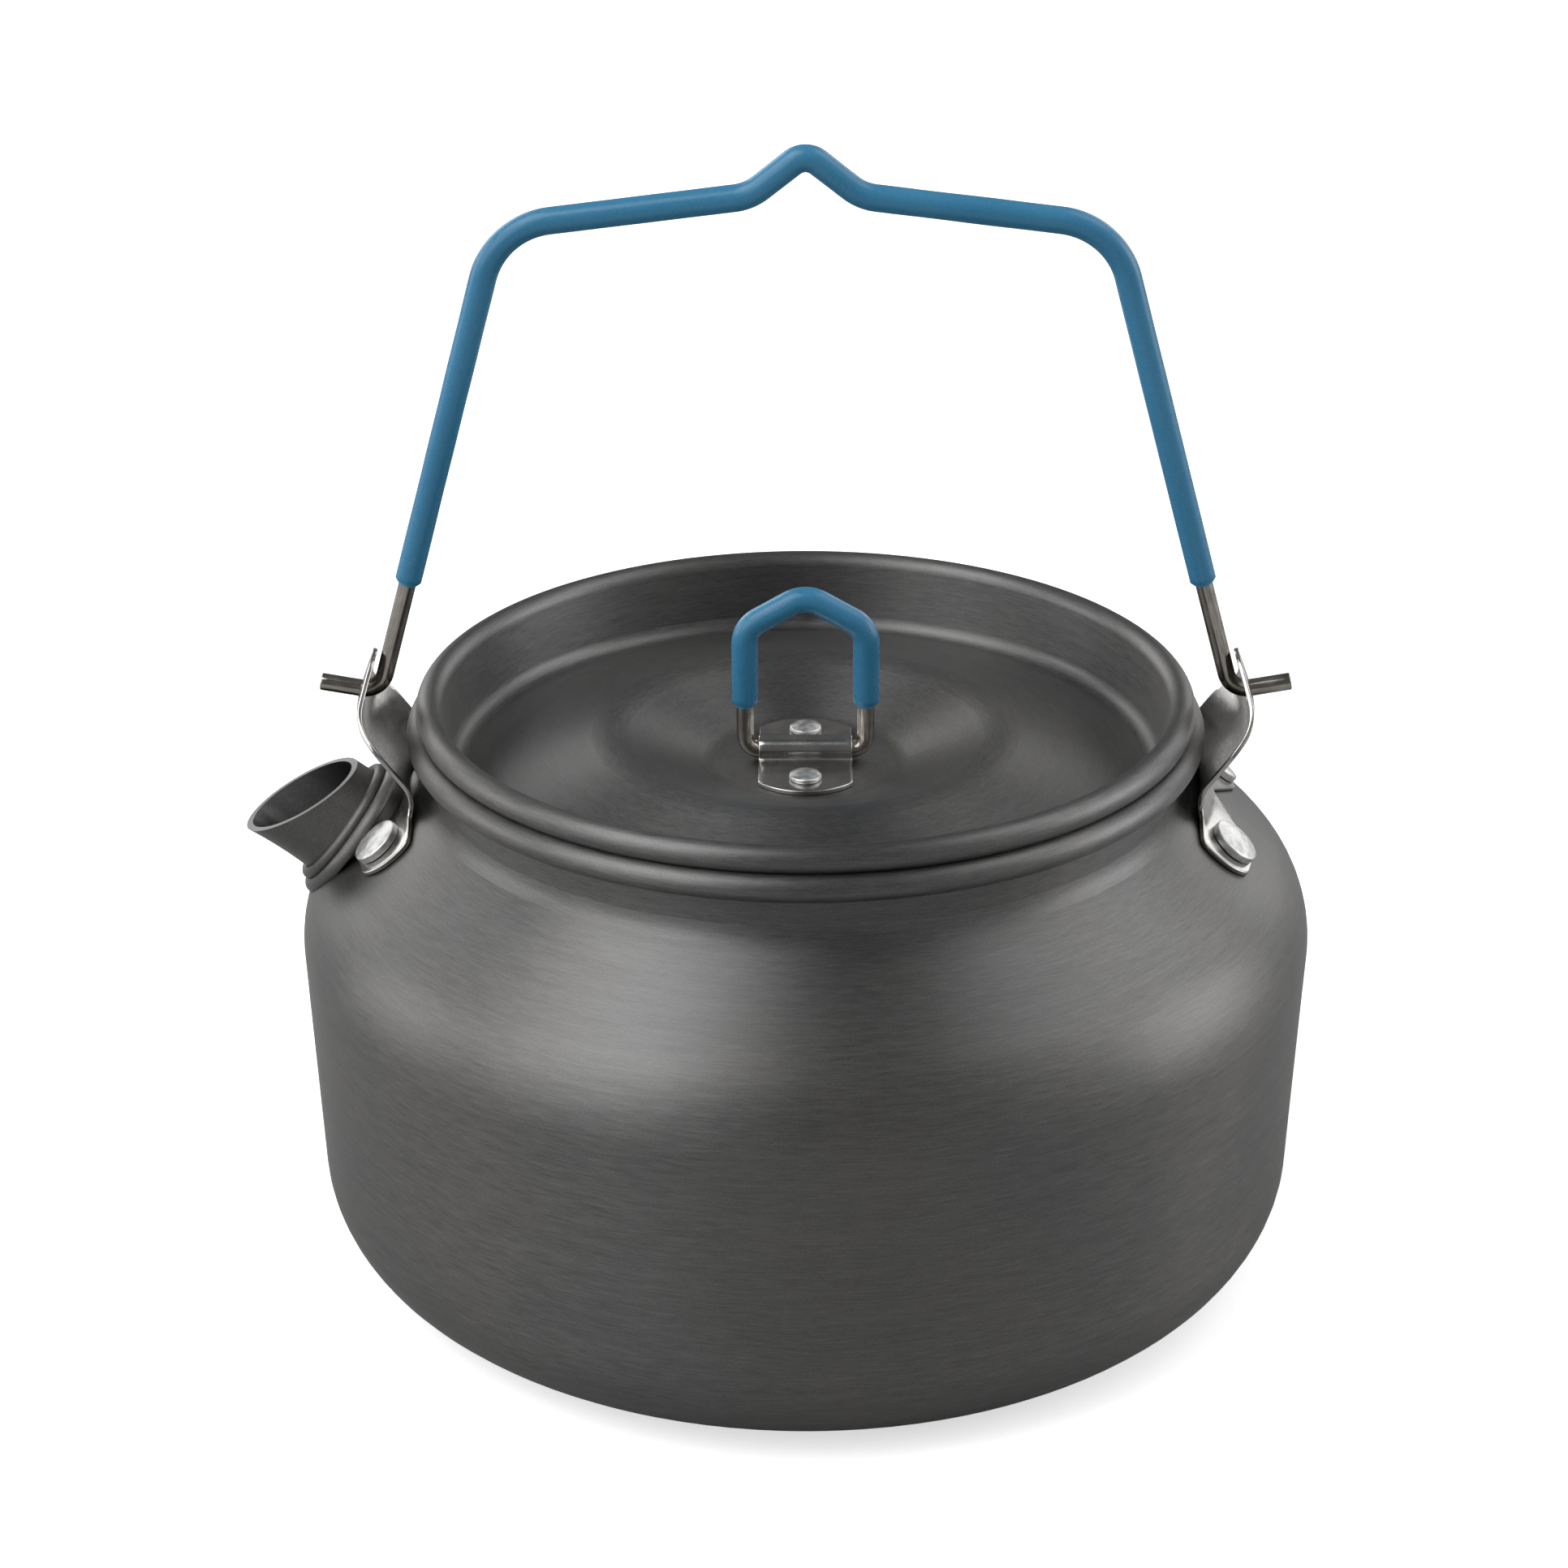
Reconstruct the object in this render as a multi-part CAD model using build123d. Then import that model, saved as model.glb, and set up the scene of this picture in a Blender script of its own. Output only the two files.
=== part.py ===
from build123d import *
import math
import os

os.makedirs("parts", exist_ok=True)

# Camping kettle with a folding bail and a lift-off lid, in millimetres.
# The origin is the centre of the flat base, +Z is up, and the bail turns about a line along X.
# The spout points to -X. The kettle is symmetric about the plane y = 0.

# ---- Driving dimensions -------------------------------------------------------------------

FIT_GAP = 0.02              # gap left between pieces that touch but are not one solid
SHARP = 0.001               # bend radius of a corner that is sharp

# Kettle body
BODY_SHEET = 1.0
WIDEST_RADIUS = 82.5
WIDEST_HEIGHT = 55.3
WALL_DRAFT = 2.45           # degrees that the wall leans out on its way up
BASE_CORNER_RADIUS = 17.0
SHOULDER_RADIUS = 17.3
CONE_NORMAL = 50.0          # degrees above level of the shoulder cone's outward normal
NECK_RADIUS = 61.0          # outside of the straight neck
NECK_BEND = 4.0
RIM_HEIGHT = 90.1           # centre of the rolled rim
RIM_BEAD = 2.15             # outside radius of the roll
RIM_ROLL = 290.0            # degrees that a rolled edge turns through

# Lid
LID_SHEET = 0.9
LID_BEAD = 2.15
LID_BEAD_RING = 60.55       # radius of the ring that the bead's centre follows
LID_SEAT_HEIGHT = 83.4      # flat seat in the middle of the well
LID_SEAT_RADIUS = 15.8
LID_SEAT_BEND = 5.0
LID_RIDGE_HEIGHT = 89.1     # crest of the raised ring, before it is rounded
LID_RIDGE_RADIUS = 31.7
LID_RIDGE_BEND = 10.0
LID_WELL_RADIUS = 57.3      # foot of the well's wall
LID_WELL_HEIGHT = 83.0
LID_WELL_BEND = 2.2

# Wire bail and its sleeve
WIRE_RADIUS = 1.4
SLEEVE_RADIUS = 2.15
PIVOT_HEIGHT = 95.6
BAIL_FOOT = (68.5, 95.3)    # corner where a leg turns out through its ear
BAIL_FOOT_BEND = 3.5
BAIL_STUB_END = (78.1, 97.0)
BAIL_SHOULDER = (47.4, 172.2)
BAIL_SHOULDER_BEND = 12.5
BAIL_NOTCH = (8.6, 177.0)   # where the top rises into the hanging peak
BAIL_NOTCH_BEND = 8.0
BAIL_PEAK_HEIGHT = 183.8
BAIL_PEAK_BEND = 3.2
BAIL_SLEEVE_FOOT = 113.8    # height where the sleeve ends on each leg

# Lugs that carry the bail
LUG_SHEET = 0.8
LUG_BULGE = (72.2, 93.8)    # corner of the outward bulge, on the sheet's middle
LUG_WEB_LEAN = 36.0         # degrees from upright, below the bulge
LUG_EAR_LEAN = 20.0         # degrees from upright, above the bulge
LUG_CREASE_BEND = 4.5
LUG_BULGE_BEND = 4.5
LUG_EAR_LENGTH = 10.0       # past the bulge, before the edge is cut
LUG_EAR_HOLE = 1.8
LUG_EDGE = [                # half of the edge seen along X: y, z and bend radius
    (0, 77.4, 0),           # arch between the feet
    (1.6, 77.0, 4.0),
    (13.4, 71.9, 3.0),
    (22.1, 71.9, 2.6),      # foot
    (21.0, 77.6, 3.2),
    (13.6, 79.8, 2.0),      # waist
    (13.6, 90.4, 3.6),
    (2.34, 102.3, 5.2),     # gable
]

# Rivets
LUG_RIVET_RADIUS = 69.3     # distance of the rivet from the kettle's axis
LUG_RIVET_ANGLE = 12.5      # degrees to each side of the bail's line
LUG_RIVET = {"shank": 2.0, "head": 4.1, "rim": 1.2, "dome": 0.7, "tail": 0.9}
LUG_RIVET_SLACK = 0.15      # lets the flat tail clear the round inside of the shoulder
CLIP_RIVET = {"shank": 1.5, "head": 2.6, "rim": 0.7, "dome": 0.6, "tail": 0.8}
CLIP_RIVET_REACH = 9.7      # distance from the clip's middle

# Spout
SPOUT_POINT = (-75.0, 71.7)     # a point on the spout's axis, in x and z
SPOUT_RISE = 37.5               # degrees above level
SPOUT_TUBE = 9.6
SPOUT_SHEET = 1.0
SPOUT_ROOT = -9.0               # stations along the axis, counted from SPOUT_POINT
SPOUT_WAIST = 6.5
SPOUT_LIP = 18.0
SPOUT_PINCH = 0.2              # how much the waist is narrower than the root
SPOUT_FLARE = 0.9               # how much the lip is wider than the root, before it is cut
SPOUT_MOUTH_TILT = 24.0         # degrees between the mouth's plane and a square cut
SPOUT_MOUTH_REACH = 8.9         # along the axis to the middle of the mouth
SPOUT_ROOT_REACH = 1.5          # how far the root stands inside the shoulder
COLLAR_TOP = 1.6                # stations of the collar's edges along the spout's axis
COLLAR_GROOVE = 0.3
COLLAR_EDGE = -1.5
COLLAR_UNDERSIDE = -2.0
COLLAR_BEAD = 11.1              # radii of the upper bead, groove, lower bead and skirt
COLLAR_GROOVE_RADIUS = 10.9
COLLAR_FLANGE = 12.6
COLLAR_SKIRT = 10.6
COLLAR_CLEARANCE = 0.2          # round gap between the collar and the lug beside it

# Lid loop and the clip that holds it
LOOP_HALF_WIDTH = 9.77
LOOP_HEIGHT = 111.8
LOOP_PEAK_BEND = 5.0
LOOP_ROOF = 30.0                # degrees of the loop's two roof sides
LOOP_SHOULDER_BEND = 4.5
LOOP_HINGE_HEIGHT = 85.05
LOOP_FOOT_BEND = 2.4
LOOP_END = 0.5                  # distance of each wire end from the middle
LOOP_SLEEVE_FOOT = 92.7
CLIP_SHEET = 0.8
CLIP_BARREL = 1.6
CLIP_FOOT_BEND = 1.2
CLIP_HALF_WIDTH = 7.6
CLIP_HALF_LENGTH = 14.8
CLIP_END_RADIUS = 9.5


# ---- Shapes that several pieces share ------------------------------------------------------

def direction(degrees):
    """Unit vector in a profile plane, counted from the first axis."""
    angle = math.radians(degrees)
    return Vector(math.cos(angle), math.sin(angle))


def meeting(first, first_way, second, second_way):
    """Point where two straight lines of a profile meet."""
    across = first_way.X * second_way.Y - first_way.Y * second_way.X
    apart = second - first
    reach = (apart.X * second_way.Y - apart.Y * second_way.X) / across
    return first + first_way * reach


def bent_path(corners):
    """Lines and tangent bends through corners, each given as (u, v, bend radius)."""
    points = [Vector(u, v) for u, v, _ in corners]
    edges = []
    start = points[0]
    for index in range(1, len(points) - 1):
        radius = max(corners[index][2], SHARP)
        into = (points[index] - points[index - 1]).normalized()
        out = (points[index + 1] - points[index]).normalized()
        half_turn = math.radians(into.get_angle(out)) / 2
        reach = radius * math.tan(half_turn)
        bend_start = points[index] - into * reach
        bend_end = points[index] + out * reach
        inward = (out - into).normalized()
        bend_middle = points[index] + inward * radius * (1 / math.cos(half_turn) - 1)
        if (bend_start - start).length > SHARP / 10:
            edges.append(Edge.make_line(start, bend_start))
        edges.append(Edge.make_three_point_arc(bend_start, bend_middle, bend_end))
        start = bend_end
    if (points[-1] - start).length > SHARP / 10:
        edges.append(Edge.make_line(start, points[-1]))
    return edges


def beside(corners, offset):
    """The same bent path, moved sideways to its left by offset."""
    points = [Vector(u, v) for u, v, _ in corners]
    ways = [(after - before).normalized() for before, after in zip(points, points[1:])]
    lefts = [Vector(-way.Y, way.X) for way in ways]
    moved = [points[0] + lefts[0] * offset]
    for index in range(1, len(points) - 1):
        before, after = lefts[index - 1], lefts[index]
        moved.append(points[index] + (before + after) * (offset / (1 + before.dot(after))))
    moved.append(points[-1] + lefts[-1] * offset)
    result = []
    for index, point in enumerate(moved):
        radius = corners[index][2]
        if 0 < index < len(points) - 1:
            turn = ways[index - 1].X * ways[index].Y - ways[index - 1].Y * ways[index].X
            radius -= offset * math.copysign(1, turn)
        result.append((point.X, point.Y, radius))
    return result


def sheet(corners, thickness):
    """Profile of a bent sheet: one face along the corners, the other to the left of them."""
    other = beside(corners, thickness)
    edges = bent_path(corners) + bent_path(other)
    for near, far in ((corners[0], other[0]), (corners[-1], other[-1])):
        edges.append(Edge.make_line(Vector(*near[:2]), Vector(*far[:2])))
    return Face(Wire(edges))


def rolled_sheet(corners, thickness, centre, roll):
    """Profile of a bent sheet whose end rolls round a centre by an angle in degrees."""
    other = beside(corners, thickness)
    edges = bent_path(corners) + bent_path(other)
    edges.append(Edge.make_line(Vector(*corners[0][:2]), Vector(*other[0][:2])))
    ends = []
    for side in (corners, other):
        start = Vector(*side[-1][:2])
        middle, end = [centre + (start - centre).rotate(Axis.Z, roll * part) for part in (0.5, 1)]
        edges.append(Edge.make_three_point_arc(start, middle, end))
        ends.append(end)
    edges.append(Edge.make_line(*ends))
    return Face(Wire(edges))


def closed_outline(corners):
    """Flat face inside a closed path of corners; the first and last must be the same point."""
    return Face(Wire(bent_path(corners)))


def upright(face):
    """Stands a profile drawn in X and Y up in the XZ plane."""
    return Plane.XZ * face


def turned(face):
    """Solid of revolution about Z of a profile drawn in radius and height."""
    return Solid.revolve(upright(face), 360, Axis.Z)


def round_bar(corners, radius):
    """Bar of round section along a bent path in the XZ plane."""
    path = Plane.XZ * Wire(bent_path(corners))
    section = Plane(path @ 0, z_dir=path % 0) * Circle(radius)
    return sweep(section, path)


def domed_rivet(shank, head, rim, dome, tail, grip):
    """Rivet along +Z: the head sits on z = 0, the shank fills grip below it, then the tail."""
    bulge = (head * head + dome * dome) / (2 * dome)
    half_way = math.asin(head / bulge) / 2
    crown = rim + dome
    on_dome = (bulge * math.sin(half_way), crown - bulge * (1 - math.cos(half_way)))
    tail_radius = (shank + head) / 2
    outline = Polyline(
        (0, crown), (0, -grip - tail), (tail_radius, -grip - tail), (tail_radius, -grip),
        (shank, -grip), (shank, 0), (head, 0), (head, rim),
    )
    cap = ThreePointArc((head, rim), on_dome, (0, crown))
    return turned(Face(Wire(outline.edges() + cap.edges())))


# ---- Kettle body ---------------------------------------------------------------------------

SHOULDER_CENTRE = Vector(WIDEST_RADIUS - SHOULDER_RADIUS, WIDEST_HEIGHT)
WALL_WAY = direction(90 - WALL_DRAFT)
WALL_TOP = SHOULDER_CENTRE + direction(-WALL_DRAFT) * SHOULDER_RADIUS
CONE_WAY = direction(90 + CONE_NORMAL)
CONE_FOOT = SHOULDER_CENTRE + direction(CONE_NORMAL) * SHOULDER_RADIUS


def spout_frame(along):
    """Plane square to the spout's axis, at a distance along it from SPOUT_POINT."""
    rise = math.radians(SPOUT_RISE)
    axis = Vector(-math.cos(rise), 0, math.sin(rise))
    origin = Vector(SPOUT_POINT[0], 0, SPOUT_POINT[1]) + axis * along
    return Plane(origin, x_dir=Vector(0, 1, 0), z_dir=axis)


def body_corners():
    """Outside of the kettle's wall from the middle of the base to the start of the rolled rim."""
    base = meeting(Vector(0, 0), Vector(1, 0), WALL_TOP, WALL_WAY)
    shoulder = meeting(WALL_TOP, WALL_WAY, CONE_FOOT, CONE_WAY)
    neck = meeting(CONE_FOOT, CONE_WAY, Vector(NECK_RADIUS, 0), Vector(0, 1))
    return [
        (0, 0, 0),
        (base.X, base.Y, BASE_CORNER_RADIUS),
        (shoulder.X, shoulder.Y, SHOULDER_RADIUS),
        (neck.X, neck.Y, NECK_BEND),
        (NECK_RADIUS, RIM_HEIGHT, 0),
    ]


def full_body():
    """Kettle body before its holes are made."""
    roll_centre = Vector(NECK_RADIUS + RIM_BEAD - BODY_SHEET, RIM_HEIGHT)
    return turned(rolled_sheet(body_corners(), BODY_SHEET, roll_centre, -RIM_ROLL))


def rivet_frame(side, turn):
    """Plane on the lug foot's outer face at one rivet; side is -1 at the spout, +1 opposite."""
    lift = LUG_SHEET + 2 * FIT_GAP
    surface = meeting(CONE_FOOT, CONE_WAY, Vector(LUG_RIVET_RADIUS, 0), Vector(0, 1))
    place = surface + direction(CONE_NORMAL) * lift
    azimuth = math.radians(LUG_RIVET_ANGLE) * turn
    around = Vector(side * math.cos(azimuth), math.sin(azimuth), 0)
    outward = math.radians(CONE_NORMAL)
    normal = around * math.cos(outward) + Vector(0, 0, math.sin(outward))
    origin = around * place.X + Vector(0, 0, place.Y)
    return Plane(origin, x_dir=Vector(-around.Y, around.X, 0), z_dir=normal)


def lug_rivet_holes(side):
    """Bars that cut both rivet holes of one lug and the shoulder under it."""
    depth = 3 * (LUG_SHEET + BODY_SHEET)
    hole = Cylinder(LUG_RIVET["shank"] + FIT_GAP, depth)
    return [rivet_frame(side, turn) * hole for turn in (-1, 1)]


def kettle_body():
    """Vessel with rolled rim, spout hole and the four rivet holes."""
    reach = SPOUT_TUBE + BASE_CORNER_RADIUS
    spout_hole = spout_frame(0) * Cylinder(SPOUT_TUBE + FIT_GAP, reach)
    body = full_body() - spout_hole
    for side in (-1, 1):
        for hole in lug_rivet_holes(side):
            body -= hole
    return body


# ---- Spout and its collar ------------------------------------------------------------------

def space_inside(offset):
    """Everything inside a surface that lies offset below the kettle's outer face."""
    wall = beside(body_corners(), offset)[:-1]
    top = (wall[-1][0], RIM_HEIGHT, 0)
    return turned(closed_outline(wall + [top, (0, RIM_HEIGHT, 0), (0, wall[0][1], 0)]))


def tube_wall(shrink):
    """One side of the spout's wall in radius and station, lessened by shrink."""
    root = Vector(SPOUT_TUBE - shrink, SPOUT_ROOT)
    start = Vector(SPOUT_TUBE - shrink, 0)
    waist = Vector(SPOUT_TUBE - SPOUT_PINCH - shrink, SPOUT_WAIST)
    lip = Vector(SPOUT_TUBE + SPOUT_FLARE - shrink, SPOUT_LIP)
    return [Edge.make_line(root, start), Edge.make_spline([start, waist, lip])]


def spout():
    """Flared tube with a slanted mouth; its root is a short stub inside the shoulder."""
    outside = tube_wall(0)
    inside = tube_wall(SPOUT_SHEET)
    root_edge = Edge.make_line(outside[0] @ 0, inside[0] @ 0)
    lip_edge = Edge.make_line(outside[1] @ 1, inside[1] @ 1)
    tube = spout_frame(0) * turned(Face(Wire(outside + inside + [root_edge, lip_edge])))
    tilt = math.radians(SPOUT_RISE + SPOUT_MOUTH_TILT)
    mouth_way = Vector(-math.cos(tilt), 0, math.sin(tilt))
    mouth = Plane(spout_frame(SPOUT_MOUTH_REACH).origin, z_dir=mouth_way)
    side = 4 * SPOUT_LIP
    above_mouth = mouth * Pos(0, 0, side / 2) * Box(side, side, side)
    return tube - above_mouth - space_inside(BODY_SHEET + SPOUT_ROOT_REACH)


def spout_collar():
    """Ring of two beads around the spout's root, with a skirt that follows the shoulder."""
    bore = SPOUT_TUBE + FIT_GAP
    top = Vector(bore, COLLAR_TOP)
    groove = Vector(COLLAR_GROOVE_RADIUS, COLLAR_GROOVE)
    edge = Vector(COLLAR_FLANGE, COLLAR_EDGE)
    upper_bead = Vector(COLLAR_BEAD, (COLLAR_TOP + COLLAR_GROOVE) / 2)
    lower_bead = Vector(COLLAR_FLANGE, (COLLAR_GROOVE + COLLAR_EDGE) / 2)
    skirt = [
        edge,
        Vector(COLLAR_SKIRT, COLLAR_UNDERSIDE),
        Vector(COLLAR_SKIRT, SPOUT_ROOT),
        Vector(bore, SPOUT_ROOT),
        top,
    ]
    beads = [
        Edge.make_three_point_arc(top, upper_bead, groove),
        Edge.make_three_point_arc(groove, lower_bead, edge),
    ]
    lines = [Edge.make_line(start, end) for start, end in zip(skirt, skirt[1:])]
    ring = spout_frame(0) * turned(Face(Wire(beads + lines)))
    return ring - space_inside(-FIT_GAP)


# ---- Lugs and their rivets -----------------------------------------------------------------

def lug_corners():
    """Face of the lug that lies on the shoulder, from the foot's end up to the ear's end."""
    foot = CONE_FOOT + direction(CONE_NORMAL) * FIT_GAP
    bulge = Vector(*LUG_BULGE)
    web_way = direction(90 - LUG_WEB_LEAN)
    ear_way = direction(90 + LUG_EAR_LEAN)
    web_side = bulge + direction(180 - LUG_WEB_LEAN) * (LUG_SHEET / 2)
    ear_side = bulge + direction(180 + LUG_EAR_LEAN) * (LUG_SHEET / 2)
    crease = meeting(foot, CONE_WAY, web_side, web_way)
    turn = meeting(web_side, web_way, ear_side, ear_way)
    start = foot - CONE_WAY * LUG_SHEET
    end = turn + ear_way * LUG_EAR_LENGTH
    return [
        (start.X, start.Y, 0),
        (crease.X, crease.Y, LUG_CREASE_BEND + LUG_SHEET),
        (turn.X, turn.Y, LUG_BULGE_BEND),
        (end.X, end.Y, 0),
    ]


def lug_outline():
    """Edge of the lug seen along X: a gabled top, a waist and two feet with an arch between."""
    mirrored = [(-across, height, bend) for across, height, bend in reversed(LUG_EDGE)]
    return closed_outline(LUG_EDGE + mirrored)


def lug(side):
    """One bent lug with its ear hole and rivet holes; side is -1 at the spout, +1 opposite."""
    plate = turned(sheet(lug_corners(), -LUG_SHEET))
    plate &= extrude(Plane.YZ * lug_outline(), side * WIDEST_RADIUS)
    ear = Plane.YZ.offset(side * LUG_BULGE[0]) * Pos(0, PIVOT_HEIGHT)
    plate -= ear * Cylinder(LUG_EAR_HOLE, LUG_EAR_LENGTH)
    for hole in lug_rivet_holes(side):
        plate -= hole
    if side < 0:
        plate -= spout_frame(0) * Cylinder(COLLAR_FLANGE + COLLAR_CLEARANCE, 2 * SPOUT_LIP)
    return plate


def lug_rivet(side, turn):
    """Solid rivet through one lug foot and the shoulder; turn is -1 or +1 along the ring."""
    grip = LUG_SHEET + BODY_SHEET + LUG_RIVET_SLACK
    return rivet_frame(side, turn) * domed_rivet(**LUG_RIVET, grip=grip)


# ---- Bail ----------------------------------------------------------------------------------

def across_middle(peak, half):
    """Whole symmetric path from the corner on the middle plane and one half beside it."""
    left = [(-u, v, bend) for u, v, bend in reversed(half)]
    return left + [peak] + half


BAIL_PEAK = (0, BAIL_PEAK_HEIGHT, BAIL_PEAK_BEND)
BAIL_TOP = [(*BAIL_NOTCH, BAIL_NOTCH_BEND), (*BAIL_SHOULDER, BAIL_SHOULDER_BEND)]


def bail_wire():
    """Stainless wire, bent outward at both feet to turn in the lug ears."""
    stub = [(*BAIL_FOOT, BAIL_FOOT_BEND), (*BAIL_STUB_END, 0)]
    return round_bar(across_middle(BAIL_PEAK, BAIL_TOP + stub), WIRE_RADIUS)


def bail_sleeve():
    """Vinyl sleeve over the top and the upper legs of the bail."""
    foot = Vector(*BAIL_FOOT)
    leg_way = Vector(*BAIL_SHOULDER) - foot
    end = meeting(foot, leg_way, Vector(0, BAIL_SLEEVE_FOOT), Vector(1, 0))
    path = across_middle(BAIL_PEAK, BAIL_TOP + [(end.X, end.Y, 0)])
    return round_bar(path, SLEEVE_RADIUS) - bail_wire()


# ---- Lid -----------------------------------------------------------------------------------

RIM_RING = NECK_RADIUS - BODY_SHEET + RIM_BEAD
BEAD_TO_BEAD = RIM_BEAD + LID_BEAD + FIT_GAP
LID_BEAD_HEIGHT = RIM_HEIGHT + math.sqrt(BEAD_TO_BEAD ** 2 - (RIM_RING - LID_BEAD_RING) ** 2)


def clip_rivet_place(turn):
    """Point on top of the clip's flange at one rivet; turn is -1 in front, +1 behind."""
    return Pos(0, turn * CLIP_RIVET_REACH, LID_SEAT_HEIGHT + CLIP_SHEET + 2 * FIT_GAP)


def clip_rivet_holes():
    """Bars that cut the two rivet holes of the clip and the lid under it."""
    hole = Cylinder(CLIP_RIVET["shank"] + FIT_GAP, 4 * (CLIP_SHEET + LID_SHEET))
    return [clip_rivet_place(turn) * hole for turn in (-1, 1)]


def lid_shell():
    """Lid with a rolled bead, a deep well, a raised ring and a flat seat in the middle."""
    wall = LID_BEAD_RING - LID_BEAD
    corners = [
        (0, LID_SEAT_HEIGHT, 0),
        (LID_SEAT_RADIUS, LID_SEAT_HEIGHT, LID_SEAT_BEND),
        (LID_RIDGE_RADIUS, LID_RIDGE_HEIGHT, LID_RIDGE_BEND),
        (LID_WELL_RADIUS, LID_WELL_HEIGHT, LID_WELL_BEND),
        (wall, LID_BEAD_HEIGHT, 0),
    ]
    roll_centre = Vector(LID_BEAD_RING, LID_BEAD_HEIGHT)
    shell = turned(rolled_sheet(corners, -LID_SHEET, roll_centre, -RIM_ROLL))
    for hole in clip_rivet_holes():
        shell -= hole
    return shell


def lid_clip():
    """Saddle clip: a raised barrel over the loop's wire between two flanges with arched ends."""
    floor = LID_SEAT_HEIGHT + FIT_GAP
    crown = LOOP_HINGE_HEIGHT + CLIP_BARREL
    corners = [
        (-CLIP_HALF_LENGTH, floor, 0),
        (-CLIP_BARREL, floor, CLIP_FOOT_BEND),
        (-CLIP_BARREL, crown, CLIP_BARREL),
        (CLIP_BARREL, crown, CLIP_BARREL),
        (CLIP_BARREL, floor, CLIP_FOOT_BEND),
        (CLIP_HALF_LENGTH, floor, 0),
    ]
    profile = Plane.YZ.offset(-CLIP_HALF_WIDTH) * sheet(corners, CLIP_SHEET)
    clip = extrude(profile, 2 * CLIP_HALF_WIDTH)
    arch = CLIP_HALF_LENGTH - CLIP_END_RADIUS
    corner = arch + math.sqrt(CLIP_END_RADIUS ** 2 - CLIP_HALF_WIDTH ** 2)
    right = [Vector(CLIP_HALF_WIDTH, -corner), Vector(CLIP_HALF_WIDTH, corner)]
    left = [Vector(-CLIP_HALF_WIDTH, corner), Vector(-CLIP_HALF_WIDTH, -corner)]
    outline = Wire([
        Edge.make_line(*right),
        Edge.make_three_point_arc(right[1], Vector(0, CLIP_HALF_LENGTH), left[0]),
        Edge.make_line(*left),
        Edge.make_three_point_arc(left[1], Vector(0, -CLIP_HALF_LENGTH), right[0]),
    ])
    clip = clip & extrude(Face(outline), 2 * crown)
    for hole in clip_rivet_holes():
        clip -= hole
    return clip


def clip_rivet(turn):
    """Rivet through one flange of the clip and the lid."""
    grip = CLIP_SHEET + LID_SHEET + 3 * FIT_GAP
    return clip_rivet_place(turn) * domed_rivet(**CLIP_RIVET, grip=grip)


# ---- Lid loop ------------------------------------------------------------------------------

LOOP_DROP = LOOP_HALF_WIDTH * math.tan(math.radians(LOOP_ROOF))
LOOP_PEAK = (0, LOOP_HEIGHT, LOOP_PEAK_BEND)
LOOP_SHOULDER = (LOOP_HALF_WIDTH, LOOP_HEIGHT - LOOP_DROP, LOOP_SHOULDER_BEND)


def lid_loop_wire():
    """Wire loop like the gable of a house; both ends turn in and nearly meet in the clip."""
    foot = [(LOOP_HALF_WIDTH, LOOP_HINGE_HEIGHT, LOOP_FOOT_BEND), (LOOP_END, LOOP_HINGE_HEIGHT, 0)]
    return round_bar(across_middle(LOOP_PEAK, [LOOP_SHOULDER] + foot), WIRE_RADIUS)


def lid_loop_sleeve():
    """Vinyl sleeve over the loop above the clip."""
    foot = (LOOP_HALF_WIDTH, LOOP_SLEEVE_FOOT, 0)
    path = across_middle(LOOP_PEAK, [LOOP_SHOULDER, foot])
    return round_bar(path, SLEEVE_RADIUS) - lid_loop_wire()


# ---- Pieces --------------------------------------------------------------------------------

PIECES = {
    "kettle_body": kettle_body(),
    "spout": spout(),
    "spout_collar": spout_collar(),
    "spout_side_lug": lug(-1),
    "far_side_lug": lug(1),
    "spout_lug_front_rivet": lug_rivet(-1, -1),
    "spout_lug_rear_rivet": lug_rivet(-1, 1),
    "far_lug_front_rivet": lug_rivet(1, -1),
    "far_lug_rear_rivet": lug_rivet(1, 1),
    "bail_wire": bail_wire(),
    "bail_sleeve": bail_sleeve(),
    "lid_shell": lid_shell(),
    "lid_clip": lid_clip(),
    "lid_clip_front_rivet": clip_rivet(-1),
    "lid_clip_rear_rivet": clip_rivet(1),
    "lid_loop_wire": lid_loop_wire(),
    "lid_loop_sleeve": lid_loop_sleeve(),
}

for name, piece in PIECES.items():
    export_step(piece, f"parts/{name}.step")
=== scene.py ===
import math

import bmesh
import bpy
from mathutils import Matrix, Quaternion, Vector, kdtree, noise
from mathutils.geometry import delaunay_2d_cdt


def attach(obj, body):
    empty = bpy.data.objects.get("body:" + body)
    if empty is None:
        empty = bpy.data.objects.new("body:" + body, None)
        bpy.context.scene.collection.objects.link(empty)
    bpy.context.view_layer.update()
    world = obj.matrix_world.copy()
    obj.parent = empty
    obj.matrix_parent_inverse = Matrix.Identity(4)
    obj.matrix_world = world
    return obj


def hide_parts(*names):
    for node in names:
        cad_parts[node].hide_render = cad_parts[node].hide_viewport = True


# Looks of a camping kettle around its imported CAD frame, in metres.
# The origin is the centre of the base, +Z is up, the spout points to -X and the front is -Y.

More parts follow.
